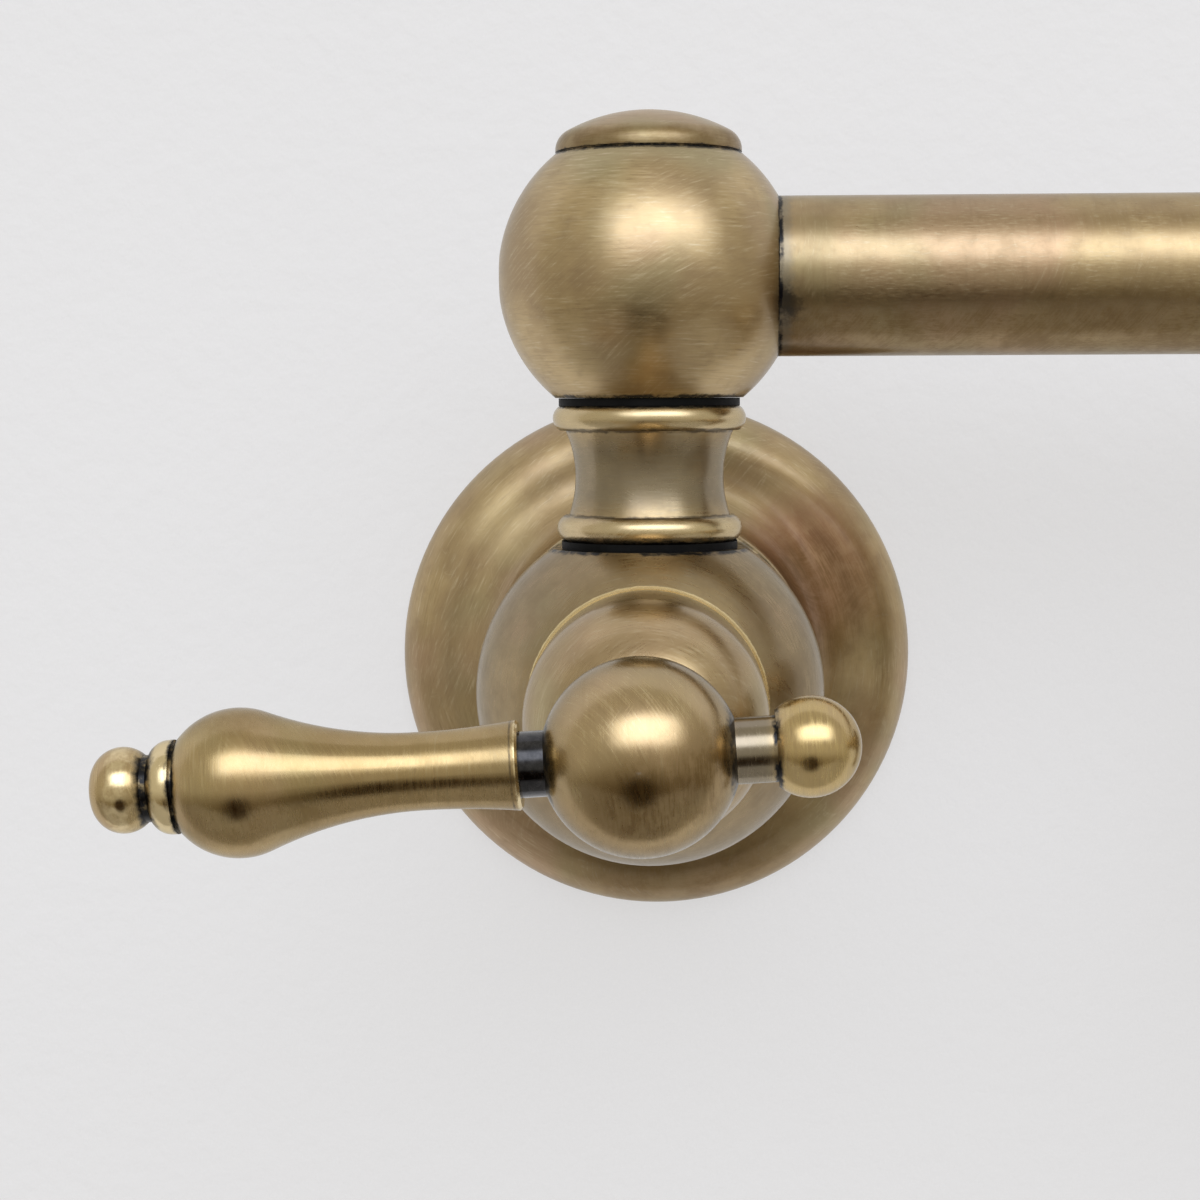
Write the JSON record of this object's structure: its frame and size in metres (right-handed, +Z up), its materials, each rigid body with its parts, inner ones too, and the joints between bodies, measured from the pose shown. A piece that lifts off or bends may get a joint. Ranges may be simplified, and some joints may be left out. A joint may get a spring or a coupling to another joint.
{
  "type": "wall mounted pot filler",
  "caption": "Wall mounted pot filler in antique brass: lever valve on a round plate, double-jointed folding arm on ball elbows, and an outlet valve with a downward spout.",
  "frame": {"origin": "centre of the threaded supply inlet, at the wall plane", "axes": "+Y into the wall along the inlet, +Z up, +X to the right along the wall; the arms are stowed along +X"},
  "size_m": [0.3746, 0.1145, 0.1159],
  "materials": {
    "antique_brass": "brushed, with a dark patina in the grooves",
    "blackened_brass": "dark patina",
    "plain_brass": "machined",
    "black_rubber": "matt",
    "white_ceramic": "lapped",
    "bearing_plastic": "moulded",
    "aerator_plastic": "moulded",
    "steel": "satin"
  },
  "bodies": {
    "wall_valve": {"escutcheon": "antique_brass", "escutcheon_o_ring": "black_rubber", "escutcheon_seal": "black_rubber", "inlet_strainer": "steel", "valve_body": "antique_brass", "wall_bonnet": "antique_brass", "wall_cartridge_housing": "plain_brass", "wall_fixed_disc": "white_ceramic", "wall_neck_spool": "antique_brass", "wall_post_nut": "plain_brass", "wall_post_o_rings": "black_rubber", "wall_seat_seal": "black_rubber", "wall_spool_gasket": "black_rubber", "wall_swivel_post": "plain_brass", "wall_swivel_washer": "black_rubber", "wall_thrust_washer": "bearing_plastic"},
    "wall_lever": {"wall_counter_finial": "antique_brass", "wall_lever_finial": "antique_brass", "wall_lever_handle": "antique_brass", "wall_lever_hub": "antique_brass", "wall_lever_stud": "blackened_brass", "wall_moving_disc": "white_ceramic", "wall_set_screw": "steel", "wall_spindle": "plain_brass", "wall_spindle_o_ring": "black_rubber"},
    "arm_1": {"arm_tube_1": "antique_brass", "mid_elbow_ball": "antique_brass", "mid_elbow_cap": "antique_brass", "wall_elbow_ball": "antique_brass", "wall_elbow_cap": "antique_brass"},
    "arm_2": {"aerator_housing": "antique_brass", "aerator_insert": "aerator_plastic", "aerator_washer": "black_rubber", "arm_tube_2": "antique_brass", "mid_lower_ball": "antique_brass", "mid_lower_cap": "antique_brass", "mid_neck_spool": "antique_brass", "mid_post_nut": "plain_brass", "mid_post_o_rings": "black_rubber", "mid_spool_gasket": "black_rubber", "mid_swivel_post": "plain_brass", "mid_swivel_washer": "black_rubber", "mid_thrust_washer": "bearing_plastic", "outlet_body": "antique_brass", "outlet_bonnet": "antique_brass", "outlet_cartridge_housing": "plain_brass", "outlet_fixed_disc": "white_ceramic", "outlet_seat_seal": "black_rubber", "spout_gasket": "black_rubber", "spout_nozzle": "antique_brass"},
    "outlet_lever": {"outlet_counter_finial": "antique_brass", "outlet_lever_finial": "antique_brass", "outlet_lever_handle": "antique_brass", "outlet_lever_hub": "antique_brass", "outlet_lever_stud": "blackened_brass", "outlet_moving_disc": "white_ceramic", "outlet_set_screw": "steel", "outlet_spindle": "plain_brass", "outlet_spindle_o_ring": "black_rubber"}
  },
  "joints": [
    {"name": "wall_swivel", "type": "hinge", "parent": "wall_valve", "child": "arm_1", "pos_m": [0, -0.048, 0.05135], "axis": [0, 0, 1], "range_deg": [-180, 0]},
    {"name": "mid_swivel", "type": "hinge", "parent": "arm_1", "child": "arm_2", "pos_m": [0.3, -0.048, 0.02727], "axis": [0, 0, 1], "continuous": true},
    {"name": "wall_lever_turn", "type": "hinge", "parent": "wall_valve", "child": "wall_lever", "pos_m": [0, -0.048, 0], "axis": [0, -1, 0], "range_deg": [0, 90]},
    {"name": "outlet_lever_turn", "type": "hinge", "parent": "arm_2", "child": "outlet_lever", "pos_m": [0.106, -0.048, 0.0032], "axis": [0, 1, 0], "range_deg": [0, 90]}
  ]
}
